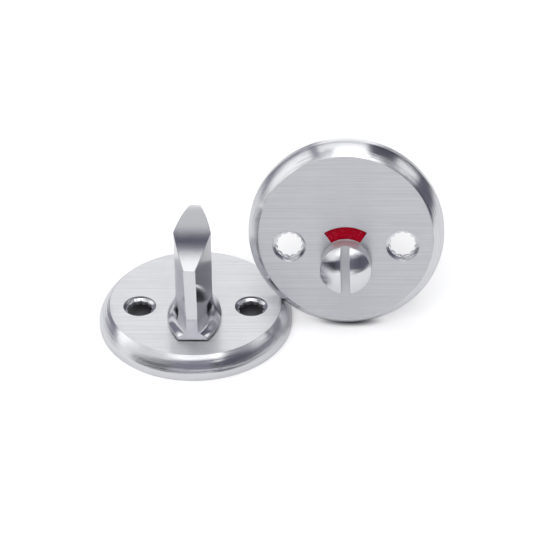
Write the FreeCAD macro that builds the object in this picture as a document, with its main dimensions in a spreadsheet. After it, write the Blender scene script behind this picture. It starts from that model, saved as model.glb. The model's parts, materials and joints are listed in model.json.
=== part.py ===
import FreeCAD, Part
import math
import os
import Sketcher
from FreeCAD import Placement, Rotation, Vector

# Bathroom thumb turn lock, both halves of one set, in millimetres and degrees, +Z up.
# The inside half lies on its back with its centre at the origin and its screw holes along X.
# The outside half stands on its rim beside it and leans back on its spindle.
# Within each half, z runs from the rose's back face out through its front face.

SIZES = {
    # Rose, the round cover plate of each half
    "rose_radius": 26.0,
    "rose_depth": 6.3,
    "rim_height": 2.2,
    "face_radius": 23.1,
    "bevel_round": 9.0,
    "rim_wall": 1.7,
    "web_thickness": 2.0,
    # Screw sockets: a round mouth, a cone and a twelve-pointed star
    "screw_spacing": 30.0,
    "screw_drop": 2.0,
    "mouth_radius": 4.4,
    "mouth_depth": 0.6,
    "cone_depth": 0.4,
    "star_tip_radius": 3.7,
    "star_root_radius": 3.2,
    # Bearing of the turn and of the knob
    "axis_drop": 7.0,
    "shaft_radius": 4.6,
    "running_gap": 0.05,
    "fitted_gap": 0.02,
    "bush_wall": 0.75,
    "bush_flange_radius": 6.3,
    "bush_flange_thickness": 0.45,
    "thrust_gap": 0.1,
    "boss_wall": 1.0,
    "boss_depth": 0.75,
    # Stack on the shaft behind the boss
    "stack_gap": 0.05,
    "stop_thickness": 0.6,
    "spring_thickness": 0.3,
    "spring_bow": 0.6,
    "washer_thickness": 0.4,
    "washer_radius": 7.2,
    "clip_thickness": 0.6,
    "clip_band": 1.6,
    "clip_opening": 70.0,
    "clip_ear_radius": 1.1,
    "clip_eye_radius": 0.5,
    "groove_depth": 0.6,
    "shaft_flat": 3.9,
    "shaft_end": 0.35,
    # Quarter-turn stops
    "lug_rest_angle": 225.0,
    "turn_travel": 90.0,
    "hub_radius": 7.7,
    "lug_reach": 14.0,
    "lug_width": 3.0,
    "rib_inner_radius": 12.3,
    "rib_length": 2.6,
    "rib_width": 2.0,
    "rib_gap": 0.6,
    # Square drive and the pin that holds the spindle
    "square": 5.0,
    "square_gap": 0.06,
    "turn_socket_depth": 16.0,
    "knob_socket_depth": 8.0,
    "knob_shaft_tail": 5.0,
    "pin_radius": 1.0,
    "pin_back": 2.4,
    "spindle_reach": 74.5,
    "spindle_taper": 5.7,
    # Thumb turn, heights from the underside of its foot
    "turn_angle": -0.9,
    "foot_half_length": 10.3,
    "foot_half_width": 7.2,
    "foot_end_half_width": 3.8,
    "foot_lip": 0.7,
    "flare_height": 7.4,
    "end_flare_height": 3.2,
    "wing_half_length": 15.1,
    "wing_half_width": 4.88,
    "wing_end_half_width": 1.5,
    "wing_side_bulge": 0.22,
    "wing_height": 27.1,
    "crown_radius": 75.0,
    # Release knob, heights from the rose's face
    "knob_radius": 6.75,
    "knob_rim": 5.0,
    "knob_dome": 2.9,
    "slot_width": 2.4,
    "slot_depth": 3.5,
    # Window and the disc behind it
    "window_inner_radius": 6.95,
    "window_outer_radius": 10.4,
    "window_half_angle": 33.0,
    "window_web": 0.95,
    "disc_gap": 0.15,
    "disc_thickness": 0.8,
    "disc_inner_radius": 6.7,
    "disc_radius": 11.4,
    "disc_pocket_gap": 0.5,
    "red_half_angle": 44.0,
    "red_thickness": 0.35,
    # Pose of the outside half beside the inside one
    "roses_gap": 0.42,
    "outside_y": 6.48,
    "outside_yaw": -3.5,
    "outside_roll": 2.5,
}
STAR_POINTS = 12
# Rows of poles up the turn's flare, and the degree of the curves that they draw
FLARE_STEPS = 5
CURVE_DEGREE = 3
# A curve with both inner poles moved by this much bulges by one
POLE_PER_BULGE = 4 / 3
# Shares of the half width that the poles of a quarter oval keep, from its middle to its tip
OVAL_SHARES = (1, 1, 2 / 3, 0)
# Places of a side sheet's edges in their list
TIP, BOTTOM, TOP = range(3)
# Degrees from the circlip's opening to the middle of an ear
EAR_ANGLE = 8
MEETING_STEPS = 10

doc = FreeCAD.newDocument("thumb_turn_lock")
sheet = doc.addObject("Spreadsheet::Sheet", "Sizes")


class Size:
    """A number together with the sheet formula that gives it."""

    def __init__(self, value, formula):
        self.value = value
        self.formula = formula

    def joined(self, other, sign, value):
        return Size(value, f"({self.formula} {sign} {formula_of(other)})")

    def __add__(self, other):
        return self.joined(other, "+", self.value + value_of(other))

    def __sub__(self, other):
        return self.joined(other, "-", self.value - value_of(other))

    def __mul__(self, other):
        return self.joined(other, "*", self.value * value_of(other))

    def __truediv__(self, other):
        return self.joined(other, "/", self.value / value_of(other))

    def __neg__(self):
        return Size(-self.value, f"(-1 * {self.formula})")

    def cosine(self):
        return Size(math.cos(math.radians(self.value)), f"cos({self.formula})")

    def sine(self):
        return Size(math.sin(math.radians(self.value)), f"sin({self.formula})")


def value_of(given):
    """The number that a size or a plain number stands for."""
    return given.value if isinstance(given, Size) else given


def formula_of(given):
    """The formula of a size, or a plain number as text."""
    return given.formula if isinstance(given, Size) else repr(float(given))


def fill_sheet():
    """Write each driving dimension into its own named cell."""
    for row, (name, number) in enumerate(SIZES.items(), start=1):
        sheet.set(f"A{row}", name)
        sheet.set(f"B{row}", str(number))
        sheet.setAlias(f"B{row}", name)
    doc.recompute()


def size(name):
    """The named driving dimension."""
    return Size(float(sheet.get(name)), f"Sizes.{name}")


fill_sheet()

# Heights and radii that follow from the driving dimensions
ROSE_RADIUS = size("rose_radius")
FACE = size("rose_depth")
WEB_BACK = FACE - size("web_thickness")
BOSS_BACK = WEB_BACK - size("boss_depth")
AXIS_Y = -size("axis_drop")
SHAFT_RADIUS = size("shaft_radius")
BUSH_INNER = SHAFT_RADIUS + size("running_gap")
BUSH_OUTER = BUSH_INNER + size("bush_wall")
BORE_RADIUS = BUSH_OUTER + size("fitted_gap")
HEAD_BASE = FACE + size("bush_flange_thickness") + size("thrust_gap")
LOOSE_RADIUS = SHAFT_RADIUS + size("running_gap")
FLAT = size("shaft_flat")
STOP_TOP = BOSS_BACK - size("stack_gap")
STOP_BACK = STOP_TOP - size("stop_thickness")
SPRING_TOP = STOP_BACK - size("fitted_gap")
SPRING_BACK = SPRING_TOP - size("spring_bow") - size("spring_thickness")
WASHER_TOP = SPRING_BACK - size("fitted_gap")
WASHER_BACK = WASHER_TOP - size("washer_thickness")
CLIP_TOP = WASHER_BACK - size("fitted_gap")
CLIP_BACK = CLIP_TOP - size("clip_thickness")
GROOVE_RADIUS = SHAFT_RADIUS - size("groove_depth")
SOCKET = size("square") + size("square_gap") * 2
WINDOW_BACK = FACE - size("window_web")
DISC_TOP = WINDOW_BACK - size("disc_gap")
DISC_BACK = DISC_TOP - size("disc_thickness")
KNOB_TOP = FACE + size("knob_rim") + size("knob_dome")
PAST = 1.0


def bind(thing, **given_sizes):
    """Tie the named properties of a document object to sizes or numbers."""
    for name, given in given_sizes.items():
        setattr(thing, name, value_of(given))
        if isinstance(given, Size):
            thing.setExpression(name, given.formula)
    return thing


def move(thing, x=0, y=0, z=0, rotation=Rotation()):
    """Put an object at sizes or numbers along each axis."""
    thing.Placement = Placement(Vector(value_of(x), value_of(y), value_of(z)), rotation)
    for axis, given in zip("xyz", (x, y, z)):
        if isinstance(given, Size):
            thing.setExpression(f".Placement.Base.{axis}", given.formula)
    return thing


def cylinder(name, radius, low, high, x=0, y=0):
    """A round bar along z between two heights."""
    bar = bind(doc.addObject("Part::Cylinder", name), Radius=radius, Height=high - low)
    return move(bar, x, y, low)


def cross_bar(name, radius, half_length, z):
    """A round bar along x, centred on the z axis at a height."""
    bar = bind(doc.addObject("Part::Cylinder", name), Radius=radius, Height=half_length * 2)
    return move(bar, -half_length, 0, z, Rotation(Vector(0, 1, 0), 90))


def block(name, half_length, half_width, low, high):
    """A box centred on the z axis between two heights."""
    box = doc.addObject("Part::Box", name)
    bind(box, Length=half_length * 2, Width=half_width * 2, Height=high - low)
    return move(box, -half_length, -half_width, low)


def cut(name, base, *tools):
    """The base with the tools taken away, one after another."""
    for number, tool in enumerate(tools, start=1):
        result = doc.addObject("Part::Cut", name if number == len(tools) else f"{name}_cut_{number}")
        result.Base = base
        result.Tool = tool
        base = result
    return base


def fuse(name, *shapes):
    """All the shapes as one."""
    result = doc.addObject("Part::MultiFuse", name)
    result.Shapes = list(shapes)
    result.Refine = True
    return result


def common(name, *shapes):
    """What all the shapes share."""
    result = doc.addObject("Part::MultiCommon", name)
    result.Shapes = list(shapes)
    return result


def ring(name, inner, outer, low, high):
    """A flat ring about the z axis between two heights."""
    disc = cylinder(f"{name}_disc", outer, low, high)
    return cut(name, disc, cylinder(f"{name}_hole", inner, low - PAST, high + PAST))


def double_flat_bar(name, radius, flat, low, high):
    """A round bar with two opposite flats: a shaft's end, or the hole that it keys."""
    bar = cylinder(f"{name}_round", radius, low, high)
    return common(name, bar, block(f"{name}_slab", radius + PAST, flat, low, high))


def origin_plane(body, role):
    """One of a body's own origin planes, found by its role."""
    return next(plane for plane in body.Origin.OriginFeatures if plane.Role == role)


def new_sketch(body, name, role="XY_Plane", height=0):
    """A sketch on an origin plane of its body, lifted along the plane's normal."""
    sketch = body.newObject("Sketcher::SketchObject", name)
    sketch.AttachmentSupport = [(origin_plane(body, role), "")]
    sketch.MapMode = "FlatFace"
    sketch.AttachmentOffset = Placement(Vector(0, 0, value_of(height)), Rotation())
    if isinstance(height, Size):
        sketch.setExpression(".AttachmentOffset.Base.z", height.formula)
    return sketch


def hold(sketch, constraint, given):
    """Add a constraint and tie it to a size."""
    index = sketch.addConstraint(constraint)
    if isinstance(given, Size):
        sketch.setExpression(f"Constraints[{index}]", given.formula)


def place_point(sketch, edge, end, corner):
    """Hold one end of a sketch edge at sizes or numbers from the origin."""
    for kind, given in zip(("DistanceX", "DistanceY"), corner):
        hold(sketch, Sketcher.Constraint(kind, -1, 1, edge, end, value_of(given)), given)


def plain(corner):
    """A corner as a vector of plain numbers."""
    return Vector(value_of(corner[0]), value_of(corner[1]), 0)


def arc_centre(start, end, radius):
    """The centre of an arc that bulges to the right of the way from its start to its end."""
    chord = end - start
    sagging = math.sqrt(radius**2 - (chord.Length / 2) ** 2)
    return (start + end) / 2 + Vector(-chord.y, chord.x, 0).normalize() * sagging


def bowed_line(start, end, radius):
    """An arc of a circle, counterclockwise from its start to its end."""
    centre = arc_centre(start, end, radius)
    angles = [math.atan2(point.y - centre.y, point.x - centre.x) for point in (start, end)]
    return Part.ArcOfCircle(Part.Circle(centre, Vector(0, 0, 1), radius), *angles)


def draw_outline(sketch, corners, bowed=None, radius=None):
    """A closed outline through the given corners, straight but for the one side that is bowed."""
    count = len(corners)
    for index in range(count):
        start, end = plain(corners[index]), plain(corners[(index + 1) % count])
        if index == bowed:
            sketch.addGeometry(bowed_line(start, end, value_of(radius)), False)
        else:
            sketch.addGeometry(Part.LineSegment(start, end), False)
    for index, corner in enumerate(corners):
        sketch.addConstraint(Sketcher.Constraint("Coincident", index, 2, (index + 1) % count, 1))
        place_point(sketch, index, 1, corner)
    if bowed is not None:
        hold(sketch, Sketcher.Constraint("Radius", bowed, value_of(radius)), radius)


def draw_circle(sketch, centre, radius):
    """A circle with its centre and radius held."""
    circle = Part.Circle(plain(centre), Vector(0, 0, 1), value_of(radius))
    edge = sketch.addGeometry(circle, False)
    place_point(sketch, edge, 3, centre)
    hold(sketch, Sketcher.Constraint("Radius", edge, value_of(radius)), radius)


def revolve(body, name, kind, sketch):
    """A full turn of a sketch about its own vertical axis."""
    feature = body.newObject(kind, name)
    feature.Profile = sketch
    feature.ReferenceAxis = (sketch, ["V_Axis"])
    feature.Angle = 360.0
    return feature


def pad(body, name, sketch, length):
    """A pad along the sketch's normal."""
    feature = body.newObject("PartDesign::Pad", name)
    feature.Profile = sketch
    return bind(feature, Length=length)


def pocket(body, name, sketch, length, upward):
    """A pocket from its sketch, upward or downward, which has to take something away."""
    doc.recompute()
    before = body.Shape.Volume
    feature = body.newObject("PartDesign::Pocket", name)
    feature.Profile = sketch
    feature.Reversed = upward
    bind(feature, Length=length)
    doc.recompute()
    if body.Shape.Volume >= before:
        raise RuntimeError(f"{name} cuts nothing")
    return feature


def mirror(body, name, features):
    """The features again on the other side of the plane x = 0."""
    pattern = body.newObject("PartDesign::Mirrored", name)
    pattern.Originals = features
    pattern.MirrorPlane = (origin_plane(body, "YZ_Plane"), [""])
    body.Tip = pattern
    return pattern


def polar(centre_y, radius, sideways, angle):
    """A point at a radius and a sideways offset from an angle's ray out of (0, centre_y)."""
    x = radius * angle.cosine() - sideways * angle.sine()
    y = radius * angle.sine() + sideways * angle.cosine()
    return x, y + centre_y


def build_rose(name, with_window):
    """A cover plate: turned shell, bearing boss, stop ribs, star sockets and perhaps a window."""
    body = doc.addObject("PartDesign::Body", name)
    rim, face_radius, wall = size("rim_height"), size("face_radius"), size("rim_wall")
    rim_corner = (ROSE_RADIUS, rim)
    corners = [
        (0, WEB_BACK),
        (face_radius - wall, WEB_BACK),
        (ROSE_RADIUS - wall, rim),
        (ROSE_RADIUS - wall, 0),
        (ROSE_RADIUS, 0),
        rim_corner,
        (face_radius, FACE),
        (0, FACE),
    ]
    profile = new_sketch(body, f"{name}_profile", "XZ_Plane")
    draw_outline(profile, corners, corners.index(rim_corner), size("bevel_round"))
    revolve(body, f"{name}_shell", "PartDesign::Revolution", profile)
    add_boss_and_ribs(body, name)
    if with_window:
        add_disc_pocket(body, name)
        add_window(body, name)
    bore = new_sketch(body, f"{name}_bore_sketch")
    draw_circle(bore, (0, AXIS_Y), BORE_RADIUS)
    pocket(body, f"{name}_bore", bore, FACE + PAST, True)
    add_star_sockets(body, name)
    return body


def add_boss_and_ribs(body, name):
    """The bearing boss, and a rib at each end of the stop lug's quarter turn."""
    boss = new_sketch(body, f"{name}_boss_sketch", height=BOSS_BACK)
    draw_circle(boss, (0, AXIS_Y), BORE_RADIUS + size("boss_wall"))
    pad(body, f"{name}_boss", boss, size("boss_depth"))
    rib = new_sketch(body, f"{name}_rib_sketch", height=STOP_BACK)
    inner = size("rib_inner_radius")
    outer = inner + size("rib_length")
    near = -(size("lug_width") / 2) - size("rib_gap")
    far = near - size("rib_width")
    angle = size("lug_rest_angle")
    draw_outline(rib, [
        polar(AXIS_Y, inner, near, angle),
        polar(AXIS_Y, outer, near, angle),
        polar(AXIS_Y, outer, far, angle),
        polar(AXIS_Y, inner, far, angle),
    ])
    rib_pad = pad(body, f"{name}_rib", rib, WEB_BACK - STOP_BACK)
    doc.recompute()
    mirror(body, f"{name}_ribs", [rib_pad])


def add_disc_pocket(body, name):
    """A ring-shaped pocket behind the face, in which the indicator disc turns."""
    sketch = new_sketch(body, f"{name}_disc_pocket_sketch", height=WEB_BACK)
    draw_circle(sketch, (0, AXIS_Y), BORE_RADIUS + size("boss_wall"))
    draw_circle(sketch, (0, AXIS_Y), size("disc_radius") + size("disc_pocket_gap"))
    pocket(body, f"{name}_disc_pocket", sketch, WINDOW_BACK - WEB_BACK, True)


def add_window(body, name):
    """The arc-shaped window about the knob's axis, on the side of the rose's centre."""
    sketch = new_sketch(body, f"{name}_window_sketch", height=WINDOW_BACK - size("fitted_gap"))
    half = size("window_half_angle")
    inner, outer = size("window_inner_radius"), size("window_outer_radius")
    low, high = math.radians(90 - half.value), math.radians(90 + half.value)
    centre = plain((0, AXIS_Y))
    for radius in (outer, inner):
        circle = Part.Circle(centre, Vector(0, 0, 1), radius.value)
        sketch.addGeometry(Part.ArcOfCircle(circle, low, high), False)
    corners = [
        (radius * half.sine() * side, radius * half.cosine() + AXIS_Y)
        for radius, side in ((outer, 1), (outer, -1), (inner, -1), (inner, 1))
    ]
    sketch.addGeometry(Part.LineSegment(plain(corners[1]), plain(corners[2])), False)
    sketch.addGeometry(Part.LineSegment(plain(corners[3]), plain(corners[0])), False)
    for pair in ((0, 2, 2, 1), (2, 2, 1, 2), (1, 1, 3, 1), (3, 2, 0, 1)):
        sketch.addConstraint(Sketcher.Constraint("Coincident", *pair))
    sketch.addConstraint(Sketcher.Constraint("Coincident", 0, 3, 1, 3))
    place_point(sketch, 0, 3, (0, AXIS_Y))
    place_point(sketch, 2, 1, corners[1])
    place_point(sketch, 3, 1, corners[3])
    hold(sketch, Sketcher.Constraint("DistanceX", -1, 1, 2, 2, corners[2][0].value), corners[2][0])
    hold(sketch, Sketcher.Constraint("DistanceX", -1, 1, 3, 2, corners[0][0].value), corners[0][0])
    pocket(body, f"{name}_window", sketch, size("window_web") + PAST, True)


def add_star_sockets(body, name):
    """Two sockets on the screw line: round mouth, cone, and a star through the web."""
    x, y = size("screw_spacing") / 2, -size("screw_drop")
    mouth_floor = FACE - size("mouth_depth")
    cone_floor = mouth_floor - size("cone_depth")
    mouth = new_sketch(body, f"{name}_mouth_sketch", "XZ_Plane")
    mouth.AttachmentOffset = Placement(Vector(x.value, 0, -y.value), Rotation())
    mouth.setExpression(".AttachmentOffset.Base.x", x.formula)
    mouth.setExpression(".AttachmentOffset.Base.z", (-y).formula)
    draw_outline(mouth, [
        (0, cone_floor),
        (size("star_tip_radius"), cone_floor),
        (size("mouth_radius"), mouth_floor),
        (size("mouth_radius"), FACE + PAST),
        (0, FACE + PAST),
    ])
    mouth_cut = revolve(body, f"{name}_mouth", "PartDesign::Groove", mouth)

    star = new_sketch(body, f"{name}_star_sketch")
    corners = []
    for number in range(STAR_POINTS * 2):
        turned = math.radians(180.0 * number / STAR_POINTS)
        radius = size("star_root_radius" if number % 2 else "star_tip_radius")
        corners.append((radius * math.cos(turned) + x, radius * math.sin(turned) + y))
    draw_outline(star, corners)
    star_cut = pocket(body, f"{name}_star", star, FACE + PAST, True)
    mirror(body, f"{name}_sockets", [mouth_cut, star_cut])


def build_bush(name):
    """A flanged plastic bush, pushed into the rose from the front."""
    sleeve = cylinder(f"{name}_sleeve", BUSH_OUTER, BOSS_BACK, FACE)
    flange_top = FACE + size("bush_flange_thickness")
    flange = cylinder(f"{name}_flange", size("bush_flange_radius"), FACE, flange_top)
    hole = cylinder(f"{name}_hole", BUSH_INNER, BOSS_BACK - PAST, HEAD_BASE + PAST)
    return cut(name, fuse(f"{name}_blank", sleeve, flange), hole)


def stop_lug(name):
    """The radial arm that meets the rose's ribs, at its resting angle."""
    lug = doc.addObject("Part::Box", name)
    bind(lug, Length=size("lug_reach"), Width=size("lug_width"), Height=size("stop_thickness"))
    turned = Rotation(Vector(0, 0, 1), rest_lug_angle(name))
    corner = turned.multVec(Vector(0, -size("lug_width").value / 2, STOP_BACK.value))
    lug.Placement = Placement(corner, turned)
    return lug


def rest_lug_angle(name):
    """The inside lug starts at the rest angle; the outside one starts at the travel's other end."""
    rest = size("lug_rest_angle").value
    return rest if name.startswith("inside") else rest + size("turn_travel").value


def hub_hole(name):
    """The double-flat hole that keys a disc to its shaft."""
    fit = size("fitted_gap")
    return double_flat_bar(name, SHAFT_RADIUS + fit, FLAT + fit, STOP_BACK - PAST, STOP_TOP + PAST)


def build_stop_disc(name):
    """A steel disc keyed to the neck, with the lug that limits its turn."""
    disc = cylinder(f"{name}_disc", size("hub_radius"), STOP_BACK, STOP_TOP)
    return cut(name, fuse(f"{name}_blank", disc, stop_lug(f"{name}_lug")), hub_hole(f"{name}_hole"))


def build_spring_washer(name):
    """A flat ring bent to an arc, which presses the stack together."""
    reach, bow = size("washer_radius"), size("spring_bow")
    bend = (reach * reach + bow * bow) / (bow * 2)
    inner_bend = bend - size("spring_thickness")
    flat_ring = ring(f"{name}_ring", LOOSE_RADIUS, reach, SPRING_BACK, SPRING_TOP)
    outer = cross_bar(f"{name}_outer", bend, reach + PAST, SPRING_TOP - bend)
    inner = cross_bar(f"{name}_inner", inner_bend, reach + PAST * 2, SPRING_TOP - bend)
    return common(name, flat_ring, cut(f"{name}_sheet", outer, inner))


def build_circlip(name):
    """An open ring with two eyed ears, sprung into the shaft's groove."""
    inner = GROOVE_RADIUS + size("fitted_gap")
    outer = inner + size("clip_band")
    half_open = math.radians(size("clip_opening").value / 2)
    band = ring(f"{name}_band", inner, outer, CLIP_BACK, CLIP_TOP)
    reach = outer.value * 2
    corners = [Vector(0, 0, CLIP_BACK.value - PAST)]
    for side in (-1, 1):
        corners.append(Vector(reach * math.sin(half_open) * side, reach * math.cos(half_open), corners[0].z))
    wedge = doc.addObject("Part::Feature", f"{name}_opening")
    triangle = Part.Face(Part.makePolygon(corners + corners[:1]))
    wedge.Shape = triangle.extrude(Vector(0, 0, CLIP_TOP.value - CLIP_BACK.value + PAST * 2))
    ears, eyes = [], []
    ear_radius, eye_radius = size("clip_ear_radius"), size("clip_eye_radius")
    at = (outer + inner) / 2 + ear_radius / 2
    opening = size("clip_opening") / 2 + EAR_ANGLE
    for side, word in ((-1, "left"), (1, "right")):
        x, y = at * opening.sine() * side, at * opening.cosine()
        ears.append(cylinder(f"{name}_{word}_ear", ear_radius, CLIP_BACK, CLIP_TOP, x, y))
        eyes.append(cylinder(f"{name}_{word}_eye", eye_radius, CLIP_BACK - PAST, CLIP_TOP + PAST, x, y))
    shaft_room = cylinder(f"{name}_shaft_room", inner, CLIP_BACK - PAST, CLIP_TOP + PAST)
    return cut(name, fuse(f"{name}_blank", cut(f"{name}_c", band, wedge), *ears), *eyes, shaft_room)


def build_shaft(name, end, top):
    """A shaft: round in its bush, with flats below the discs' shoulder and a circlip groove."""
    journal = cylinder(f"{name}_journal", SHAFT_RADIUS, STOP_TOP, top)
    flats = double_flat_bar(f"{name}_flats", SHAFT_RADIUS, FLAT, end, STOP_TOP)
    groove = ring(f"{name}_groove", GROOVE_RADIUS, SHAFT_RADIUS + PAST, CLIP_BACK, CLIP_TOP)
    return cut(name, fuse(f"{name}_blank", journal, flats), groove)


def concave(height, top, reach):
    """How far a hollow flare, upright at its top, stands out at a height, from 0 to its reach."""
    if height >= top:
        return 0.0
    bend = (top * top + reach * reach) / (2 * reach)
    return bend - math.sqrt(bend * bend - (top - height) ** 2)


def side_poles(height, side, end):
    """The poles of a quarter of the turn's outline at a height above its lip, from middle to tip."""
    lip = size("foot_lip").value
    flare_top = size("flare_height").value - lip
    end_flare_top = size("end_flare_height").value - lip
    wing_half, tip_half = size("wing_half_width").value, size("wing_end_half_width").value
    middle = wing_half + concave(height, flare_top, size("foot_half_width").value - wing_half)
    tip = tip_half + concave(height, end_flare_top, size("foot_end_half_width").value - tip_half)
    foot_length = size("foot_half_length").value
    share = height / (size("wing_height").value - lip)
    length = foot_length + (size("wing_half_length").value - foot_length) * share
    pointed = min(1.0, height / flare_top)
    pointed = pointed * pointed * (3 - 2 * pointed)
    belly = size("wing_side_bulge").value * pointed * POLE_PER_BULGE
    poles = []
    for step, oval in enumerate(OVAL_SHARES):
        straight = 1 - step / CURVE_DEGREE
        width = tip + (middle - tip) * (oval + (straight - oval) * pointed)
        width += belly if 0 < step < CURVE_DEGREE else 0.0
        poles.append(Vector(side * width, end * length * step / CURVE_DEGREE, HEAD_BASE.value + lip + height))
    return poles


def edges_of(sheet):
    """A quarter sheet's tip, bottom and top edges."""
    tip = max(sheet.Edges, key=lambda edge: abs(edge.CenterOfMass.y))
    bottom_to_top = sorted(sheet.Edges, key=lambda edge: edge.CenterOfMass.z)
    return tip, bottom_to_top[0], bottom_to_top[-1]


def flare_sheet(rows):
    """A smooth face drawn by rows of poles."""
    repeats = [CURVE_DEGREE + 1, CURVE_DEGREE + 1]
    row_repeats = [CURVE_DEGREE + 1] + [1] * (len(rows) - CURVE_DEGREE - 1) + [CURVE_DEGREE + 1]
    row_knots = list(range(len(row_repeats)))
    surface = Part.BSplineSurface()
    surface.buildFromPolesMultsKnots(
        rows, row_repeats, repeats, row_knots, [0, 1], False, False, CURVE_DEGREE, CURVE_DEGREE
    )
    return surface.toShape()


def wing_sheet(flare, row):
    """The straight sheet from a flare sheet's top edge to the curve of a row of poles."""
    curve = Part.BezierCurve()
    curve.setPoles(row)
    return Part.makeRuledSurface(edges_of(flare)[TOP], curve.toShape())


def flat_cap(quarters, tips, place):
    """The flat face across four quarter sheets and the faces between their tips."""
    outline = [edges_of(quarter)[place] for quarter in quarters]
    outline += [edges_of(tip)[place] for tip in tips]
    return Part.Face(Part.Wire(Part.__sortEdges__(outline)))


def build_wing(name):
    """The turn's foot, flare and wing: two bellied sides between two flat tips, crowned on top."""
    lip = size("foot_lip").value
    flare_top = size("flare_height").value - lip
    levels = [flare_top * step / FLARE_STEPS for step in range(FLARE_STEPS + 1)]
    top = size("wing_height").value - lip + PAST
    flares, wings, flare_tips, wing_tips = [], [], [], []
    for end in (1, -1):
        for side in (1, -1):
            flares.append(flare_sheet([side_poles(level, side, end) for level in levels]))
            wings.append(wing_sheet(flares[-1], side_poles(top, side, end)))
        flare_tips.append(Part.makeRuledSurface(edges_of(flares[-2])[TIP], edges_of(flares[-1])[TIP]))
        wing_tips.append(Part.makeRuledSurface(edges_of(wings[-2])[TIP], edges_of(wings[-1])[TIP]))
    underside = flat_cap(flares, flare_tips, BOTTOM)
    sides = flares + wings + flare_tips + wing_tips
    skin = Part.makeShell([*sides, underside, flat_cap(wings, wing_tips, TOP)])
    skin.sewShape()
    blank = doc.addObject("Part::Feature", f"{name}_blank")
    blank.Shape = Part.makeSolid(skin).fuse(underside.extrude(Vector(0, 0, -lip)))
    crown = size("crown_radius")
    crown_z = HEAD_BASE + size("wing_height") - crown
    arch = cross_bar(f"{name}_crown", crown, size("foot_half_width") + PAST, crown_z)
    return common(name, blank, arch)


def build_thumb_turn(name):
    """The cast turn: crowned wing on a flared foot, and the neck that carries the square socket."""
    wing = build_wing(f"{name}_wing")
    neck = build_shaft(f"{name}_neck", size("shaft_end"), HEAD_BASE + size("fitted_gap"))
    half = SOCKET / 2
    socket = block(f"{name}_socket", half, half, size("shaft_end") - PAST, size("turn_socket_depth"))
    return cut(name, fuse(f"{name}_casting", wing, neck), socket)


def build_release_knob(name):
    """The turned knob: domed head with a coin slot, and its drilled shaft."""
    radius, dome = size("knob_radius"), size("knob_dome")
    ball_radius = (radius * radius + dome * dome) / (dome * 2)
    drum = cylinder(f"{name}_drum", radius, HEAD_BASE, KNOB_TOP)
    ball = bind(doc.addObject("Part::Sphere", f"{name}_ball"), Radius=ball_radius)
    move(ball, 0, 0, KNOB_TOP - ball_radius)
    head = common(f"{name}_head", drum, ball)
    tail = -size("knob_shaft_tail")
    shaft = build_shaft(f"{name}_shaft", tail, HEAD_BASE + size("fitted_gap"))
    half = SOCKET / 2
    slot_floor = KNOB_TOP - size("slot_depth")
    coin_slot = block(f"{name}_slot", size("slot_width") / 2, radius + PAST, slot_floor, KNOB_TOP + PAST)
    socket = block(f"{name}_socket", half, half, tail - PAST, size("knob_socket_depth"))
    pin_hole = cross_bar(f"{name}_pin_hole", size("pin_radius"), SHAFT_RADIUS + PAST, -size("pin_back"))
    return cut(name, fuse(f"{name}_blank", head, shaft), coin_slot, socket, pin_hole)


def red_sector(name, low, high):
    """The sector of the disc's front that is red."""
    inner, outer = size("disc_inner_radius").value, size("disc_radius").value
    half = math.radians(size("red_half_angle").value)
    corners, middles = [], []
    for radius in (outer, inner):
        middles.append(Vector(0, radius, low.value))
        for side in (1, -1):
            corners.append(Vector(radius * math.sin(half) * side, radius * math.cos(half), low.value))
    right_out, left_out, right_in, left_in = corners
    edges = [
        Part.Arc(right_out, middles[0], left_out).toShape(),
        Part.makeLine(left_out, left_in),
        Part.Arc(left_in, middles[1], right_in).toShape(),
        Part.makeLine(right_in, right_out),
    ]
    sector = doc.addObject("Part::Feature", name)
    sector.Shape = Part.Face(Part.Wire(edges)).extrude(Vector(0, 0, high.value - low.value))
    return sector


def build_indicator_disc(name):
    """A dished white disc: hub on the shaft, wall round the boss, flange behind the window."""
    hub = cylinder(f"{name}_hub", size("hub_radius"), STOP_BACK, DISC_TOP)
    flange = cylinder(f"{name}_flange", size("disc_radius"), DISC_BACK, DISC_TOP)
    lug = stop_lug(f"{name}_lug")
    room = cylinder(f"{name}_boss_room", size("disc_inner_radius"), STOP_TOP, DISC_TOP + PAST)
    seat = red_sector(f"{name}_red_seat", DISC_TOP - size("red_thickness"), DISC_TOP + PAST)
    return cut(name, fuse(f"{name}_blank", hub, flange, lug), room, hub_hole(f"{name}_hole"), seat)


def spindle_length():
    """From the spindle's free end to its end in the knob."""
    return size("spindle_reach") + size("knob_socket_depth") - size("square_gap")


def build_spindle(name):
    """A square bar with its corners turned down to a taper at the free end, drilled for the pin."""
    half = size("square") / 2
    back = -size("spindle_reach")
    bar = block(f"{name}_bar", half, half, back, back + spindle_length())
    corner = half * math.sqrt(2) + size("square_gap")
    taper = bind(
        doc.addObject("Part::Cone", f"{name}_taper"),
        Radius1=half, Radius2=corner, Height=size("spindle_taper"),
    )
    move(taper, 0, 0, back)
    rest = cylinder(f"{name}_rest", corner, back + size("spindle_taper"), back + spindle_length())
    turned = common(f"{name}_turned", bar, fuse(f"{name}_envelope", taper, rest))
    return cut(name, turned, cross_bar(f"{name}_hole", size("pin_radius"), half + PAST, -size("pin_back")))


def lean_angle():
    """The outside rose's lean in degrees, at which its rim and the spindle's end share the ground."""
    roll = math.radians(size("outside_roll").value)
    half = size("square").value / 2
    drop = size("axis_drop").value * math.cos(roll) + half * (math.cos(roll) + abs(math.sin(roll)))
    return math.degrees(math.atan((ROSE_RADIUS.value - drop) / size("spindle_reach").value))


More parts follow.
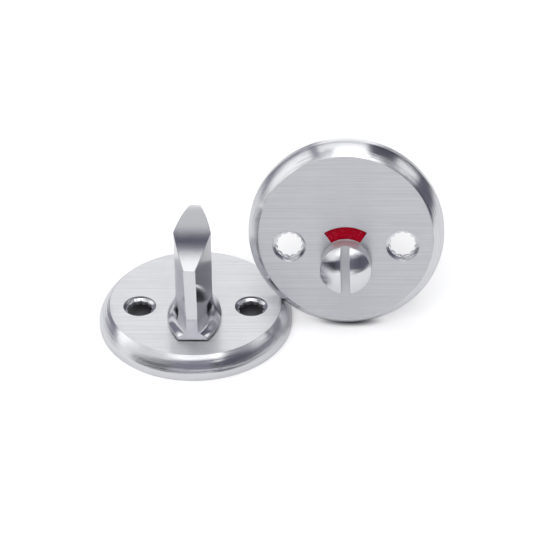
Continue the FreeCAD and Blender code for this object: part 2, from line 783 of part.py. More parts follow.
def outside_x(lean):
    """How far across the outside rose stands, with its rim just clear of the inside rose's bevel."""
    radius, rim, depth = ROSE_RADIUS.value, size("rim_height").value, FACE.value
    round_radius = size("bevel_round").value
    centre = arc_centre(Vector(radius, rim, 0), Vector(size("face_radius").value, depth, 0), round_radius)
    meeting_y = size("outside_y").value - depth / 2
    reaches = []
    for step in range(MEETING_STEPS + 1):
        height = rim + (depth - rim) * step / MEETING_STEPS
        bevel = centre.x + math.sqrt(round_radius**2 - (height - centre.y) ** 2)
        below_centre = radius - height / math.cos(math.radians(lean))
        reaches.append(math.sqrt(bevel**2 - meeting_y**2) + math.sqrt(radius**2 - below_centre**2))
    return max(reaches) + size("roses_gap").value


def outside_pose():
    """Where the outside rose stands: on its rim, turned, leaning back and rolled a little."""
    lean = lean_angle()
    upright = Rotation(Vector(1, 0, 0), 90 - lean)
    turned = Rotation(Vector(0, 0, 1), size("outside_yaw").value) * upright
    rolled = turned * Rotation(Vector(0, 0, 1), size("outside_roll").value)
    height = ROSE_RADIUS.value * math.cos(math.radians(lean))
    return Placement(Vector(outside_x(lean), size("outside_y").value, height), rolled)


def build_half(side, with_window):
    """The pieces that both halves have, by what they sit on."""
    on_rose = [build_rose(f"{side}_rose", with_window)]
    on_axis = [
        build_bush(f"{side}_bush"),
        build_spring_washer(f"{side}_spring_washer"),
        ring(f"{side}_flat_washer", LOOSE_RADIUS, size("washer_radius"), WASHER_BACK, WASHER_TOP),
        build_circlip(f"{side}_circlip"),
    ]
    return on_rose, on_axis


def place_half(pose, on_rose, on_axis, axis_turn=0.0):
    """Give each piece of a half its place in the row."""
    axis = Placement(Vector(0, AXIS_Y.value, 0), Rotation(Vector(0, 0, 1), axis_turn))
    for piece in on_rose:
        piece.Placement = pose
    for piece in on_axis:
        piece.Placement = pose * axis


def build_spindle_pin(name):
    """A tubular spring pin through the shaft and the spindle."""
    half_length = SHAFT_RADIUS - size("running_gap") * 2
    bar = cross_bar(f"{name}_bar", size("pin_radius") - size("fitted_gap"), half_length, -size("pin_back"))
    bore = cross_bar(f"{name}_bore", size("pin_radius") / 2, half_length + PAST, -size("pin_back"))
    return cut(name, bar, bore)


def check_document():
    """Stop if any object of the document failed."""
    for thing in doc.Objects:
        if "Invalid" in thing.State or "Error" in thing.State:
            raise RuntimeError(f"{thing.Name} is {thing.State}")


def export(pieces):
    """Write each piece to a file named after it, once all of them are sound."""
    for piece in pieces:
        if piece.Shape.isNull() or not piece.Shape.isValid() or not piece.Shape.Solids:
            raise RuntimeError(f"{piece.Label} has no sound solid")
    os.makedirs("parts", exist_ok=True)
    for piece in pieces:
        piece.Shape.exportStep(f"parts/{piece.Label}.step")
        lowest = piece.Shape.optimalBoundingBox(False, False).ZMin
        count, volume = len(piece.Shape.Solids), piece.Shape.Volume
        print(f"{piece.Label}: {count} solid, {volume:.1f} mm3, lowest {lowest:.3f}")


inside_rose, inside_stack = build_half("inside", False)
inside_turning = inside_stack[1:] + [build_stop_disc("inside_stop_disc"), build_thumb_turn("thumb_turn")]
outside_rose, outside_stack = build_half("outside", True)
outside_stack += [
    build_release_knob("release_knob"),
    build_indicator_disc("indicator_disc"),
    red_sector("indicator_red_insert", DISC_TOP - size("red_thickness"), DISC_TOP),
    build_spindle("spindle"),
    build_spindle_pin("spindle_pin"),
]
doc.recompute()
place_half(Placement(), inside_rose, inside_stack[:1])
place_half(Placement(), [], inside_turning, size("turn_angle").value)
place_half(outside_pose(), outside_rose, outside_stack)
doc.recompute()
check_document()
export(inside_rose + inside_stack[:1] + inside_turning + outside_rose + outside_stack)
print(f"The outside half leans back {lean_angle():.2f} degrees.")
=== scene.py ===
"""Bathroom thumb turn lock: both halves of the set, dressed in satin and polished chrome.

The inside rose lies on its back with the thumb turn up. The outside rose stands beside it with
the coin-slot release knob and the red window. Lengths in the finishes are millimetres, and
everything that is placed in the scene is in metres.
"""

import json
import logging
import math
from dataclasses import dataclass, field
from enum import Enum
from typing import NamedTuple, Optional, Union

import bpy
from mathutils import Matrix, Vector

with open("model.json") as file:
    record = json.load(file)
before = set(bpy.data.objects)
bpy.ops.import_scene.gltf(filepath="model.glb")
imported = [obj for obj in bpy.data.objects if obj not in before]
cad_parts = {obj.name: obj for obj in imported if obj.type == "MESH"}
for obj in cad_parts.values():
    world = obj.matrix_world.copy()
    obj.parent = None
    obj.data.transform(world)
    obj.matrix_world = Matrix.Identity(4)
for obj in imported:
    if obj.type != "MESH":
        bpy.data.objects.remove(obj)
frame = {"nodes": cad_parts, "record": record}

LOG = logging.getLogger("bathroom_lock")
MM = 0.001
# From a rose's centre to its shaft's axis, along the rose's second axis, in millimetres
AXIS_DROP = -7.0
Colour = tuple[float, float, float, float]
BLACK: Colour = (0.0, 0.0, 0.0, 1.0)
WHITE: Colour = (1.0, 1.0, 1.0, 1.0)


def holds_vector(value: "Value") -> bool:
    """Whether a value is a vector, as numbers or as a signal.

    Args:
        value: The value.

    Returns:
        True for a vector.
    """
    if isinstance(value, Signal):
        return value.socket.type == "VECTOR"
    return isinstance(value, (tuple, Vector))


class Signal:
    """One output socket of a shader. Arithmetic on it adds the nodes that work it out."""

    def __init__(self, sheet: "Sheet", socket: bpy.types.NodeSocket) -> None:
        """Keep the socket and the sheet of nodes that it belongs to."""
        self.sheet = sheet
        self.socket = socket

    def combined(self, operation: str, other: "Value", swapped: bool = False) -> "Signal":
        """Join this signal and another value.

        Args:
            operation: The Math or Vector Math operation.
            other: The other operand.
            swapped: Whether the other operand comes first.

        Returns:
            The result.
        """
        first, second = (other, self) if swapped else (self, other)
        vector = holds_vector(self) or holds_vector(other)
        kind = "ShaderNodeVectorMath" if vector else "ShaderNodeMath"
        return self.sheet.node(kind, {"operation": operation}, {0: first, 1: second})

    def __add__(self, other: "Value") -> "Signal":
        """Sum."""
        return self.combined("ADD", other)

    def __radd__(self, other: "Value") -> "Signal":
        """Sum, reflected."""
        return self.combined("ADD", other, True)

    def __sub__(self, other: "Value") -> "Signal":
        """Difference."""
        return self.combined("SUBTRACT", other)

    def __rsub__(self, other: "Value") -> "Signal":
        """Difference, reflected."""
        return self.combined("SUBTRACT", other, True)

    def __mul__(self, other: "Value") -> "Signal":
        """Product; a vector times a number is scaled.

        Args:
            other: The other factor.

        Returns:
            The product.
        """
        if holds_vector(self) == holds_vector(other):
            return self.combined("MULTIPLY", other)
        vector, factor = (self, other) if holds_vector(self) else (other, self)
        return self.sheet.node("ShaderNodeVectorMath", {"operation": "SCALE"}, {0: vector, 3: factor})

    def __rmul__(self, other: "Value") -> "Signal":
        """Product, reflected."""
        return self * other

    def __truediv__(self, other: "Value") -> "Signal":
        """Quotient."""
        return self.combined("DIVIDE", other)

    def __rtruediv__(self, other: "Value") -> "Signal":
        """Quotient, reflected."""
        return self.combined("DIVIDE", other, True)

    def __pow__(self, other: "Value") -> "Signal":
        """Power."""
        return self.combined("POWER", other)

    def __rpow__(self, other: "Value") -> "Signal":
        """Power, reflected."""
        return self.combined("POWER", other, True)

    def __abs__(self) -> "Signal":
        """Size without its sign."""
        return self.sheet.node("ShaderNodeMath", {"operation": "ABSOLUTE"}, {0: self})

    def dot(self, other: "Value") -> "Signal":
        """Dot product with another vector."""
        settings = {"operation": "DOT_PRODUCT"}
        return self.sheet.node("ShaderNodeVectorMath", settings, {0: self, 1: other}, "Value")

    def cross(self, other: "Value") -> "Signal":
        """Cross product with another vector."""
        return self.combined("CROSS_PRODUCT", other)

    def unit(self) -> "Signal":
        """The vector's direction."""
        return self.sheet.node("ShaderNodeVectorMath", {"operation": "NORMALIZE"}, {0: self})

    def ramp(self, low: float, high: float) -> "Signal":
        """Rise smoothly from 0 at one value to 1 at another.

        Args:
            low: Where the result is 0; it may be the larger.
            high: Where the result is 1.

        Returns:
            The share from 0 to 1.
        """
        settings = {"interpolation_type": "SMOOTHSTEP"}
        if low <= high:
            return self.sheet.node("ShaderNodeMapRange", settings, {0: self, 1: low, 2: high})
        return self.sheet.node("ShaderNodeMapRange", settings, {0: self, 1: high, 2: low, 3: 1.0, 4: 0.0})

    def band(self, low: float, high: float, soft: float) -> "Signal":
        """1 between low and high, with edges that fade over soft on each side."""
        return self.ramp(low - soft, low + soft) * self.ramp(high + soft, high - soft)


Value = Union[Signal, float, tuple, Vector]


class Span(NamedTuple):
    """The stretch from low to high, with edges that fade over soft on each side."""

    low: float
    high: float
    soft: float


class Sheet:
    """A node tree, and the one method that adds nodes to it."""

    def __init__(self, tree: bpy.types.NodeTree) -> None:
        """Start from an empty tree."""
        self.tree = tree
        tree.nodes.clear()

    def node(
        self, kind: str, settings: dict, values: dict, output: Union[int, str] = 0
    ) -> Optional[Signal]:
        """Add one node.

        Args:
            kind: The node's type.
            settings: Its own settings, which are set first.
            values: A number, vector, colour or signal for each socket, by index or name.
            output: The output that is returned.

        Returns:
            The output as a signal, or nothing for a node that has none.
        """
        made = self.tree.nodes.new(kind)
        for name, value in settings.items():
            setattr(made, name, value)
        for key, value in values.items():
            socket = made.inputs[key]
            if isinstance(value, Signal):
                self.tree.links.new(value.socket, socket)
            else:
                socket.default_value = value
        return Signal(self, made.outputs[output]) if made.outputs else None

    def blend(self, share: Value, first: Value, second: Value) -> Signal:
        """Mix two colours by the share of the second."""
        return self.node("ShaderNodeMix", {"data_type": "RGBA"}, {0: share, 6: first, 7: second}, 2)

    def noise(self, where: Value, scale: float, detail: float = 2.0) -> Signal:
        """Soft noise, 0.5 on average."""
        return self.node("ShaderNodeTexNoise", {}, {"Vector": where, "Scale": scale, "Detail": detail})

    def scatter(self, where: Value) -> Signal:
        """A fine random spread about 0, densest there and never beyond 1 either way.

        Args:
            where: The place that the spread is taken at.

        Returns:
            The spread.
        """
        fine, coarse, apart = 97.0, 61.0, (3.7, 1.9, 5.3)
        first = self.node("ShaderNodeTexWhiteNoise", {}, {"Vector": where * fine})
        second = self.node("ShaderNodeTexWhiteNoise", {}, {"Vector": where * coarse + apart})
        return first + second - 1.0

    def rounded(self, radius: float, samples: int) -> Signal:
        """The normal, turned as if edges were rounded to a radius in millimetres."""
        return self.node("ShaderNodeBevel", {"samples": samples}, {"Radius": radius * MM})

    def point(self) -> Signal:
        """The surface's own point, in millimetres of the part's frame."""
        return self.node("ShaderNodeTexCoord", {}, {}, "Object") * (1 / MM)

    def in_scene(self, direction: Value) -> Signal:
        """A direction of the piece, turned with the piece into the scene."""
        settings = {"vector_type": "VECTOR", "convert_from": "OBJECT", "convert_to": "WORLD"}
        return self.node("ShaderNodeVectorTransform", settings, {0: direction}).unit()

    def vector(self, x: Value, y: Value, z: Value) -> Signal:
        """A vector from three values."""
        return self.node("ShaderNodeCombineXYZ", {}, {0: x, 1: y, 2: z})


@dataclass(frozen=True)
class Seat:
    """Where a piece's own frame sits in the part: its origin in millimetres and its three axes."""

    origin: tuple[float, float, float]
    across: tuple[float, float, float]
    along: tuple[float, float, float]
    out: tuple[float, float, float]

    def local(self, sheet: Sheet) -> tuple[Signal, Signal, Signal]:
        """The surface's point in this frame.

        Args:
            sheet: The material's nodes.

        Returns:
            The three coordinates in millimetres.
        """
        offset = sheet.point() - self.origin
        return offset.dot(self.across), offset.dot(self.along), offset.dot(self.out)

    def moved(self, along: float, turn: float = 0.0) -> "Seat":
        """This frame moved along its second axis and turned about its third.

        Args:
            along: The distance in millimetres.
            turn: The angle in degrees.

        Returns:
            The new frame.
        """
        spin = Matrix.Rotation(math.radians(turn), 3, Vector(self.out))
        return Seat(
            tuple(Vector(self.origin) + Vector(self.along) * along),
            tuple(spin @ Vector(self.across)),
            tuple(spin @ Vector(self.along)),
            self.out,
        )


@dataclass(frozen=True)
class Patches:
    """Soft patches of wear, dirt or dust, and what they do to a finish.

    They show between the two noise values in shown. They tint the colour there, and swing the
    roughness about its mean.
    """

    scale: float
    detail: float
    shown: tuple[float, float]
    tint: float
    swing: float = 0.0

    def noise(self, sheet: Sheet, where: Value) -> Signal:
        """The patches' noise at a place."""
        return sheet.noise(where, self.scale, self.detail)

    def tinting(self, noise: Signal) -> Signal:
        """The share of the darker colour that the patches bring."""
        return noise.ramp(*self.shown) * self.tint

    def roughening(self, noise: Signal) -> Signal:
        """The change in roughness that the patches bring."""
        return (noise - 0.5) * self.swing


@dataclass(frozen=True)
class Brushing:
    """How far brush lines and their finest scratches tilt the surface across the brushing."""

    lines: float
    scratches: float

    def tilt(self, marks: Signal, scatter: Signal) -> Signal:
        """The tilt that the lines and the scratches give together."""
        return marks * self.lines + scatter * self.scratches


@dataclass(frozen=True)
class Finish:
    """What every finish has: a name, and the colour it is written with."""

    name: str
    colour: Colour

    def material(self) -> bpy.types.Material:
        """Make the material and fill its nodes.

        Returns:
            The new material.
        """
        made = bpy.data.materials.new(self.name)
        made.use_nodes = True
        sheet = Sheet(made.node_tree)
        sheet.node("ShaderNodeOutputMaterial", {}, {"Surface": self.surface(sheet)})
        made.diffuse_color = self.colour
        return made

    def surface(self, sheet: Sheet) -> Signal:
        """The finish's shader.

        Args:
            sheet: The material's nodes.

        Returns:
            The shader's output.
        """
        raise NotImplementedError

    def tinted(self, sheet: Sheet, share: Value, darker: float) -> Signal:
        """The finish's colour, darkened where a share is high.

        Args:
            sheet: The material's nodes.
            share: How much of the darker colour shows.
            darker: The darker colour's part of the full one.

        Returns:
            The colour.
        """
        dark = tuple(part * darker for part in self.colour[:3]) + (1.0,)
        return sheet.blend(share, self.colour, dark)


class Tone(Enum):
    """The colours that the finishes are written with."""

    SATIN = (0.82, 0.825, 0.85, 1.0)
    POLISHED = (0.77, 0.775, 0.8, 1.0)
    ZINC = (0.55, 0.56, 0.57, 1.0)
    SPRING = (0.22, 0.22, 0.23, 1.0)
    NYLON = (0.8, 0.79, 0.74, 1.0)
    WHITE = (0.82, 0.82, 0.81, 1.0)
    RED = (0.41, 0.001, 0.016, 1.0)
    DUST = (0.75, 0.5, 0.52, 1.0)


@dataclass(frozen=True)
class RoseChrome(Finish):
    """Satin chrome: straight brushing on the face, brushing round the bevel and the rim.

    The dished back, below cast_top and inside cast_radius, is left as cast.
    """

    seat: Seat
    face_height: float = 6.3
    face_reach: float = 0.06
    face_soft: float = 0.02
    face: Brushing = Brushing(0.5, 0.78)
    bevel: Brushing = Brushing(0.5, 0.22)
    along_scale: float = 0.03
    across_scale: float = 3.6
    line_detail: float = 3.0
    ring_scale: float = 2.5
    ring_detail: float = 4.0
    roughness: float = 0.16
    face_roughness: float = 0.16
    cast_roughness: float = 0.4
    cast_top: float = 5.25
    cast_top_soft: float = 0.1
    cast_radius: float = 23.8
    cast_radius_soft: float = 0.4
    edge: float = 0.2
    edge_samples: int = 6
    clouds: Patches = Patches(0.35, 3.0, (0.45, 0.8), 0.1, 0.08)
    line_depth: float = 0.15
    line_tint: float = 0.6
    cast_tint: float = 0.5
    darker: float = 0.85

    def surface(self, sheet: Sheet) -> Signal:
        """Brush lines tilt the normal across the brushing.

        Args:
            sheet: The material's nodes.

        Returns:
            The shader's output.
        """
        x, y, out = self.seat.local(sheet)
        radius = (x * x + y * y) ** 0.5
        low, high = self.face_height - self.face_reach, self.face_height + self.face_reach
        on_face = out.band(low, high, self.face_soft)
        normal = sheet.rounded(self.edge, self.edge_samples)
        scatter = sheet.scatter(sheet.point())
        along_lines = sheet.vector(x * self.along_scale, y * self.across_scale, 0.0)
        straight = sheet.noise(along_lines, 1.0, self.line_detail) - 0.5
        ring = self.ring_scale
        around = sheet.vector(x / radius * ring, y / radius * ring, (radius - out) * ring)
        ringed = sheet.noise(around, 1.0, self.ring_detail) - 0.5
        below_face = out.ramp(self.cast_top, self.cast_top - self.cast_top_soft)
        cast = below_face * radius.ramp(self.cast_radius, self.cast_radius - self.cast_radius_soft)
        out_axis = sheet.in_scene(self.seat.out)
        outward = sheet.in_scene(x * self.seat.across + y * self.seat.along)
        face_way = sheet.in_scene(self.seat.along)
        bevel_way = normal.cross(out_axis.cross(outward)).unit()
        face_tilt = self.face.tilt(straight, scatter) * on_face
        bevel_tilt = self.bevel.tilt(ringed, scatter) * (1.0 - on_face)
        tilt = face_way * face_tilt + bevel_way * bevel_tilt
        lines = straight * on_face + ringed * (1.0 - on_face)
        clouds = self.clouds.noise(sheet, sheet.point())
        wear = lines.ramp(-self.line_depth, self.line_depth) * self.line_tint
        wear = wear + self.clouds.tinting(clouds) + cast * self.cast_tint
        rough = self.roughness + on_face * self.face_roughness + cast * self.cast_roughness
        values = {
            "Base Color": self.tinted(sheet, wear, self.darker),
            "Metallic": 1.0,
            "Roughness": rough + self.clouds.roughening(clouds),
            "Normal": (normal + tilt).unit(),
        }
        return sheet.node("ShaderNodeBsdfPrincipled", {}, values)


@dataclass(frozen=True)
class BrushedChrome(Finish):
    """Half-polished chrome with faint brush lines along the second axis of its own frame.

    What lies below wall_top, such as the side under a domed head, is rougher by wall.
    """

    seat: Seat
    roughness: float = 0.08
    across: Brushing = Brushing(0.05, 0.0)
    along_scratches: float = 0.06
    across_scale: float = 9.0
    along_scale: float = 0.1
    line_detail: float = 3.0
    line_tint: float = 0.2
    edge: float = 0.35
    edge_samples: int = 8
    wall_top: float = 0.0
    wall_soft: float = 0.2
    wall: float = 0.45
    clouds: Patches = Patches(0.3, 3.0, (0.5, 0.8), 0.1, 0.05)
    darker: float = 0.85

    def surface(self, sheet: Sheet) -> Signal:
        """Brush lines along the second axis, seen from the top, and up the sides.

        Args:
            sheet: The material's nodes.

        Returns:
            The shader's output.
        """
        x, y, out = self.seat.local(sheet)
        normal = sheet.rounded(self.edge, self.edge_samples)
        along_lines = sheet.vector(x * self.across_scale, y * self.along_scale, out * self.along_scale)
        lines = sheet.noise(along_lines, 1.0, self.line_detail) - 0.5
        clouds = self.clouds.noise(sheet, sheet.point())
        scatter = sheet.scatter(sheet.point())
        across = sheet.in_scene(self.seat.across) * self.across.tilt(lines, scatter)
        along = sheet.in_scene(self.seat.along) * (scatter * self.along_scratches)
        rough = self.roughness + out.ramp(self.wall_top, self.wall_top - self.wall_soft) * self.wall
        wear = abs(lines) * self.line_tint + self.clouds.tinting(clouds)
        values = {
            "Base Color": self.tinted(sheet, wear, self.darker),
            "Metallic": 1.0,
            "Roughness": rough + self.clouds.roughening(clouds),
            "Normal": (normal + across + along).unit(),
        }
        return sheet.node("ShaderNodeBsdfPrincipled", {}, values)


@dataclass(frozen=True)
class WorkedSteel(Finish):
    """Plated or oiled steel of the hidden hardware."""

    roughness: float = 0.35
    clouds: Patches = Patches(0.6, 4.0, (0.4, 0.7), 0.5)
    marks: Patches = Patches(1.0, 2.0, (0.55, 0.8), 0.3, 0.2)
    mark_stretch: tuple[float, float, float] = (6.0, 1.0, 6.0)
    darker: float = 0.7

    def surface(self, sheet: Sheet) -> Signal:
        """Cloudy plating with fine marks.

        Args:
            sheet: The material's nodes.

        Returns:
            The shader's output.
        """
        point = sheet.point()
        clouds = self.clouds.noise(sheet, point)
        marks = self.marks.noise(sheet, point * self.mark_stretch)
        wear = self.clouds.tinting(clouds) + self.marks.tinting(marks)
        values = {
            "Base Color": self.tinted(sheet, wear, self.darker),
            "Metallic": 1.0,
            "Roughness": self.roughness + self.marks.roughening(marks),
        }
        return sheet.node("ShaderNodeBsdfPrincipled", {}, values)


@dataclass(frozen=True)
class MouldedPlastic(Finish):
    """Moulded plastic with a slight grain, a few specks and, if asked for, pale dust."""

    roughness: float = 0.4
    speck: float = 0.2
    shine: float = 0.5
    dust: float = 0.0
    clouds: Patches = Patches(0.5, 2.0, (0.4, 0.8), 0.15, 0.1)
    speck_scale: float = 3.2
    speck_shown: tuple[float, float] = (0.62, 0.75)
    dust_scale: float = 4.5
    dust_shown: tuple[float, float] = (0.68, 0.76)
    dust_offset: tuple[float, float, float] = (5.0, 0.0, 2.0)
    grain_scale: float = 8.0
    grain_strength: float = 0.05
    darker: float = 0.6

    def surface(self, sheet: Sheet) -> Signal:
        """Soft clouds, a few small specks and a fine grain.

        Args:
            sheet: The material's nodes.

        Returns:
            The shader's output.
        """
        point = sheet.point()
        clouds = self.clouds.noise(sheet, point)
        specks = sheet.noise(point, self.speck_scale, 2.0).ramp(*self.speck_shown)
        dusty = sheet.noise(point + self.dust_offset, self.dust_scale, 1.0).ramp(*self.dust_shown)
        wear = self.clouds.tinting(clouds) + specks * self.speck
        plain = self.tinted(sheet, wear, self.darker)
        height = sheet.noise(point, self.grain_scale, 2.0)
        grain = {"Strength": self.grain_strength, "Height": height}
        values = {
            "Base Color": sheet.blend(dusty * self.dust, plain, Tone.DUST.value),
            "Roughness": self.roughness + self.clouds.roughening(clouds),
            "Specular IOR Level": self.shine,
            "Normal": sheet.node("ShaderNodeBump", {}, grain),
        }
        return sheet.node("ShaderNodeBsdfPrincipled", {}, values)


def seats_from(record: dict) -> tuple[Seat, Seat]:
    """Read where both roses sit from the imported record.

    Args:
        record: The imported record.

    Returns:
        The inside and the outside rose's frames.
    """
    mounts = {mount["name"]: mount for mount in record["mounts"]}
    joints = {joint["name"]: joint for joint in record["behaviour"]["joints"]}
    inside = Seat((0.0, 0.0, 0.0), (1.0, 0.0, 0.0), (0.0, 1.0, 0.0), (0.0, 0.0, 1.0))
    centre = Vector(mounts["outside_rose_back"]["pos_m"])
    out = -Vector(mounts["outside_rose_back"]["axis"]).normalized()
    along = (centre - Vector(joints["release_hinge"]["pos_m"])).normalized()
    across = along.cross(out).normalized()
    outside = Seat(tuple(centre / MM), tuple(across), tuple(along), tuple(out))
    return inside, outside


def dress(node: str, finish: Finish) -> None:
    """Give a piece its finish in place of the plain one.

    Args:
        node: The piece's name.
        finish: The finish.
    """
    slots = frame["nodes"][node].data.materials
    slots.clear()
    slots.append(finish.material())
    LOG.info("%s: %s", node, finish.name)


@dataclass
class ShaftStack:
    """The bush, spring washer, flat washer and circlip that hold either shaft in its rose."""

    side: str
    nylon: Finish = MouldedPlastic("natural_nylon", Tone.NYLON.value, 0.45, speck=0.1)
    spring: Finish = WorkedSteel("oiled_spring_steel", Tone.SPRING.value, 0.3)
    zinc: Finish = WorkedSteel("zinc_plate", Tone.ZINC.value)

    def build(self) -> None:
        """Dress the four pieces."""
        dress(f"{self.side}_bush", self.nylon)
        dress(f"{self.side}_spring_washer", self.spring)
        dress(f"{self.side}_flat_washer", self.zinc)
        dress(f"{self.side}_circlip", self.spring)


@dataclass
class InsideHalf:
    """The rose that lies on its back, with the thumb turn."""

    seat: Seat
    turn_angle: float = -0.9
    hardware: ShaftStack = field(default_factory=lambda: ShaftStack("inside"))

    def build(self) -> None:
        """Dress the rose, the thumb turn and what is behind them."""
        dress("inside_rose", RoseChrome("inside_satin_chrome", Tone.SATIN.value, self.seat))
        turned = self.seat.moved(AXIS_DROP, self.turn_angle)
        dress("thumb_turn", BrushedChrome("polished_chrome", Tone.POLISHED.value, turned))
        dress("inside_stop_disc", self.hardware.zinc)
        self.hardware.build()


@dataclass
class OutsideHalf:
    """The rose that stands on its rim, with the release knob, the window and the spindle."""

    seat: Seat
    dome_foot: float = 11.3
    hardware: ShaftStack = field(default_factory=lambda: ShaftStack("outside"))

    def build(self) -> None:
        """Dress the rose, the knob, the indicator and what is behind them."""
        dress("outside_rose", RoseChrome("outside_satin_chrome", Tone.SATIN.value, self.seat))
        dress("release_knob", self.knob_chrome())
        dress("indicator_disc", MouldedPlastic("white_plastic", Tone.WHITE.value, speck=0.05))
        red = MouldedPlastic("red_plastic", Tone.RED.value, 0.5, speck=0.35, shine=0.05, dust=0.7)
        dress("indicator_red_insert", red)
        dress("spindle", self.hardware.zinc)
        dress("spindle_pin", self.hardware.spring)
        self.hardware.build()

    def knob_chrome(self) -> Finish:
        """The knob's chrome, brushed more than the turn's, and rougher below its dome.

        Returns:
            The finish.
        """
        return BrushedChrome(
            "knob_chrome",
            Tone.SATIN.value,
            self.seat.moved(AXIS_DROP),
            roughness=0.12,
            across=Brushing(0.3, 0.3),
            along_scratches=0.05,
            across_scale=14.0,
            edge=0.25,
            wall_top=self.dome_foot,
        )


@dataclass(frozen=True)
class Glow:
    """One light or dark area of the sky that the metal mirrors.

    It lies between two arcs, which run from the horizon behind the camera at 0 over the top at 90
    to the horizon behind the part at 180, and between two shares of the way to the right.
    """

    name: str
    level: float
    arcs: Span
    sides: Span = Span(-2.0, 2.0, 0.1)
    skew: float = 0.0

    def over(self, below: Value, arc: Signal, side: Signal) -> Signal:
        """Lay this area over what is there.

        Args:
            below: The level so far.
            arc: The arc of the direction, in degrees.
            side: How far the direction points to the right.

        Returns:
            The new level.
        """
        share = (arc - side * self.skew).band(*self.arcs) * side.band(*self.sides)
        return below * (1.0 - share) + share * self.level


@dataclass(frozen=True)
class PaintedShadow:
    """A painted contact shadow: a soft dark oval in the table's colour where a piece stands on it."""

    centre: tuple[float, float]
    half: tuple[float, float]
    core: float
    end: float

    def open_share(self, sheet: Sheet, spot: Signal) -> Signal:
        """How far a spot on the table lies outside the painted shadow.

        Args:
            sheet: The table's nodes.
            spot: The spot on the table.

        Returns:
            0 in the oval's core and 1 beyond its end.
        """
        offset = (spot - (*self.centre, 0.0)) * (1 / self.half[0], 1 / self.half[1], 1.0)
        away = sheet.node("ShaderNodeVectorMath", {"operation": "LENGTH"}, {0: offset}, "Value")
        return away.ramp(self.core, self.end)


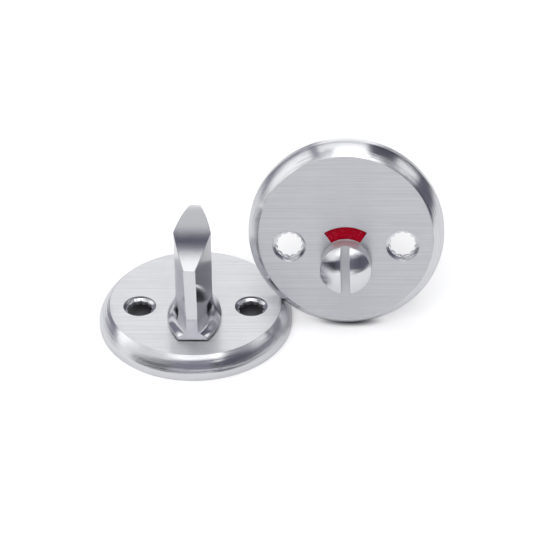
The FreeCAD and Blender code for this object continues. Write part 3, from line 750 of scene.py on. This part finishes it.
@dataclass(frozen=True)
class Studio:
    """The pale table, the soft light around it and the sky that the metal mirrors."""

    table_half: float = 2.5
    table_front: float = -0.125
    table_colour: Colour = (0.86, 0.86, 0.86, 1.0)
    # The darker colour and the two ovals below paint contact shadows on the table: one under the inside
    # rose, which also darkens what shows through its holes, and one where the outside rose's rim meets the
    # table.
    painted_shadow_colour: Colour = (0.2, 0.2, 0.22, 1.0)
    table_glow: float = 0.3
    painted_shadows: tuple[PaintedShadow, ...] = (
        PaintedShadow((0.0, 0.0), (0.024, 0.024), 0.7, 1.2),
        PaintedShadow((0.0418, -0.0003), (0.0065, 0.002), 0.3, 1.6),
    )
    tent: float = 0.9
    areas: tuple[Glow, ...] = (
        Glow("softbox above the camera", 2.0, Span(30.0, 97.0, 4.0), Span(-0.35, 0.4, 0.12)),
        Glow("dark room behind the camera", 0.05, Span(-60.0, 43.0, 6.0), Span(-0.95, 2.0, 0.03), skew=8.0),
        Glow("dim middle behind the camera", 0.25, Span(4.0, 56.0, 4.0), Span(-0.38, 0.3, 0.06)),
        Glow("bright ground in front", 1.0, Span(-60.0, 5.0, 4.0), Span(-0.5, 0.42, 0.08)),
        Glow("dark room to the front right", 0.12, Span(-60.0, 69.0, 6.0), Span(0.42, 2.0, 0.06)),
        Glow("dim left, top to back", 0.25, Span(76.0, 200.0, 8.0), Span(-0.7, -0.22, 0.06)),
        Glow("dark frame of the top panel", 0.15, Span(98.0, 131.0, 2.0), Span(-0.52, 0.45, 0.03)),
        Glow("top panel", 1.2, Span(98.0, 131.0, 2.5), Span(-0.42, 0.3, 0.02)),
        Glow("dark gap behind the panel", 0.12, Span(132.5, 150.0, 4.5), Span(-0.7, 0.7, 0.1)),
        Glow("grey backdrop", 0.65, Span(145.0, 200.0, 2.0)),
        Glow("bright strip low on the backdrop", 2.0, Span(170.0, 200.0, 3.0), Span(-0.25, 0.3, 0.05)),
        Glow("dark right, top to back", 0.1, Span(80.0, 200.0, 6.0), Span(0.28, 0.7, 0.05)),
        Glow("dim back left", 0.25, Span(132.0, 200.0, 3.0), Span(-2.0, -0.2, 0.04)),
        Glow("dark far back right", 0.1, Span(132.0, 200.0, 3.0), Span(0.28, 2.0, 0.04)),
        Glow("left panel", 1.3, Span(90.0, 128.0, 4.0), Span(-0.97, -0.52, 0.05)),
        Glow("right panel", 1.1, Span(90.0, 128.0, 4.0), Span(0.66, 0.9, 0.04)),
        Glow("dark far right", 0.15, Span(-60.0, 240.0, 5.0), Span(0.89, 2.0, 0.03)),
    )
    dim_levels: tuple[float, float] = (0.1, 0.8)
    dim_tint: Colour = (0.88, 0.88, 1.12, 1.0)
    lamp_power: float = 3.0
    lamp_size: float = 0.7
    lamp_place: tuple[float, float, float] = (0.0, -0.6, 0.6)
    lamp_aim: tuple[float, float, float] = (0.02, 0.0, 0.02)

    def build(self) -> None:
        """Lay the table, fill the sky and hang the lamp."""
        self.lay_table()
        self.fill_sky()
        self.hang_lamp()

    def lay_table(self) -> None:
        """A wide pale table, which keeps the real shadow, carries painted contact shadows and shows white
        away from the part.
        """
        half, front = self.table_half, self.table_front
        mesh = bpy.data.meshes.new("table")
        outline = [(-half, front, 0.0), (half, front, 0.0), (half, half, 0.0), (-half, half, 0.0)]
        mesh.from_pydata(outline, [], [(0, 1, 2, 3)])
        table = bpy.data.objects.new("table", mesh)
        bpy.context.scene.collection.objects.link(table)
        mesh.materials.append(self.table_white())

    def table_white(self) -> bpy.types.Material:
        """White with painted contact shadows, soft dark ovals where the pieces stand; the glow shows to the
        camera alone and drops away inside them.

        Returns:
            The table's material.
        """
        made = bpy.data.materials.new("table_white")
        made.use_nodes = True
        sheet = Sheet(made.node_tree)
        spot = sheet.node("ShaderNodeTexCoord", {}, {}, "Object")
        open_table: Value = 1.0
        for painted_shadow in self.painted_shadows:
            open_table = painted_shadow.open_share(sheet, spot) * open_table
        # Painted shadow: the colour turns to the darker one inside each oval.
        colour = sheet.blend(open_table, self.painted_shadow_colour, self.table_colour)
        camera = sheet.node("ShaderNodeLightPath", {}, {}, "Is Camera Ray")
        pale = sheet.node("ShaderNodeBsdfDiffuse", {}, {"Color": colour})
        # The camera glow is taken away inside the painted shadows too.
        shown = sheet.blend(open_table * camera, BLACK, WHITE)
        glow = sheet.node("ShaderNodeEmission", {}, {"Color": shown, "Strength": self.table_glow})
        both = sheet.node("ShaderNodeAddShader", {}, {0: pale, 1: glow})
        sheet.node("ShaderNodeOutputMaterial", {}, {"Surface": both})
        return made

    def fill_sky(self) -> None:
        """White to the camera; for the metal a pale tent with bright panels and darker gaps."""
        world = bpy.data.worlds.new("studio_sky")
        world.use_nodes = True
        bpy.context.scene.world = world
        sheet = Sheet(world.node_tree)
        way = sheet.node("ShaderNodeTexCoord", {}, {}, "Generated")
        height, depth = way.dot((0.0, 0.0, 1.0)), way.dot((0.0, -1.0, 0.0))
        arc = sheet.node("ShaderNodeMath", {"operation": "ARCTAN2"}, {0: height, 1: depth}) * (180 / math.pi)
        side = way.dot((1.0, 0.0, 0.0))
        level: Value = self.tent
        for area in self.areas:
            level = area.over(level, arc, side)
            LOG.info("sky: %s", area.name)
        tone = sheet.blend(level.ramp(*self.dim_levels), self.dim_tint, WHITE)
        camera = sheet.node("ShaderNodeLightPath", {}, {}, "Is Camera Ray")
        sky = sheet.node("ShaderNodeBackground", {}, {
            "Color": sheet.blend(camera, tone, WHITE),
            "Strength": level * (1.0 - camera) + camera,
        })
        sheet.node("ShaderNodeOutputWorld", {}, {"Surface": sky})

    def hang_lamp(self) -> None:
        """A broad soft lamp above the camera, which the metal doesn't mirror."""
        data = bpy.data.lights.new("soft_lamp", "AREA")
        data.shape = "DISK"
        data.size = self.lamp_size
        data.energy = self.lamp_power
        lamp = bpy.data.objects.new("soft_lamp", data)
        lamp.location = self.lamp_place
        lamp.visible_glossy = False
        lamp.visible_camera = False
        bpy.context.scene.collection.objects.link(lamp)
        way = Vector(self.lamp_aim) - lamp.location
        lamp.rotation_euler = way.to_track_quat("-Z", "Y").to_euler()


@dataclass(frozen=True)
class PhotoCamera:
    """The camera that was worked out from both roses' outlines in the photograph."""

    place: tuple[float, float, float] = (24.37, -433.65, 334.22)
    focal_pixels: float = 2016.85
    photo_pixels: float = 540.0
    sensor: float = 36.0
    down: float = 36.196
    aside: float = -0.568
    roll: float = -0.294
    nearest: float = 0.01

    def build(self) -> None:
        """Place the camera and make it the scene's own."""
        down, aside, roll = (math.radians(angle) for angle in (self.down, self.aside, self.roll))
        ahead = Vector((math.sin(aside), math.cos(aside), 0.0))
        forward = ahead * math.cos(down) - Vector((0.0, 0.0, math.sin(down)))
        level = forward.cross(Vector((0.0, 0.0, 1.0))).normalized()
        upward = level.cross(forward)
        right = level * math.cos(roll) + upward * math.sin(roll)
        top = upward * math.cos(roll) - level * math.sin(roll)
        turn = Matrix((right, top, -forward)).transposed().to_4x4()
        data = bpy.data.cameras.new("photo_camera")
        data.sensor_width = self.sensor
        data.lens = self.focal_pixels * self.sensor / self.photo_pixels
        data.clip_start = self.nearest
        camera = bpy.data.objects.new("photo_camera", data)
        camera.matrix_world = Matrix.Translation(Vector(self.place) * MM) @ turn
        bpy.context.scene.collection.objects.link(camera)
        bpy.context.scene.camera = camera


def main() -> None:
    """Dress both halves, light them and place the camera."""
    logging.basicConfig(level=logging.INFO, format="%(name)s: %(message)s")
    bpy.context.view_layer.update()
    bpy.context.scene.view_settings.view_transform = "Standard"
    inside, outside = seats_from(frame["record"])
    for part in (InsideHalf(inside), OutsideHalf(outside), Studio(), PhotoCamera()):
        part.build()


if __name__ == "__main__":
    main()
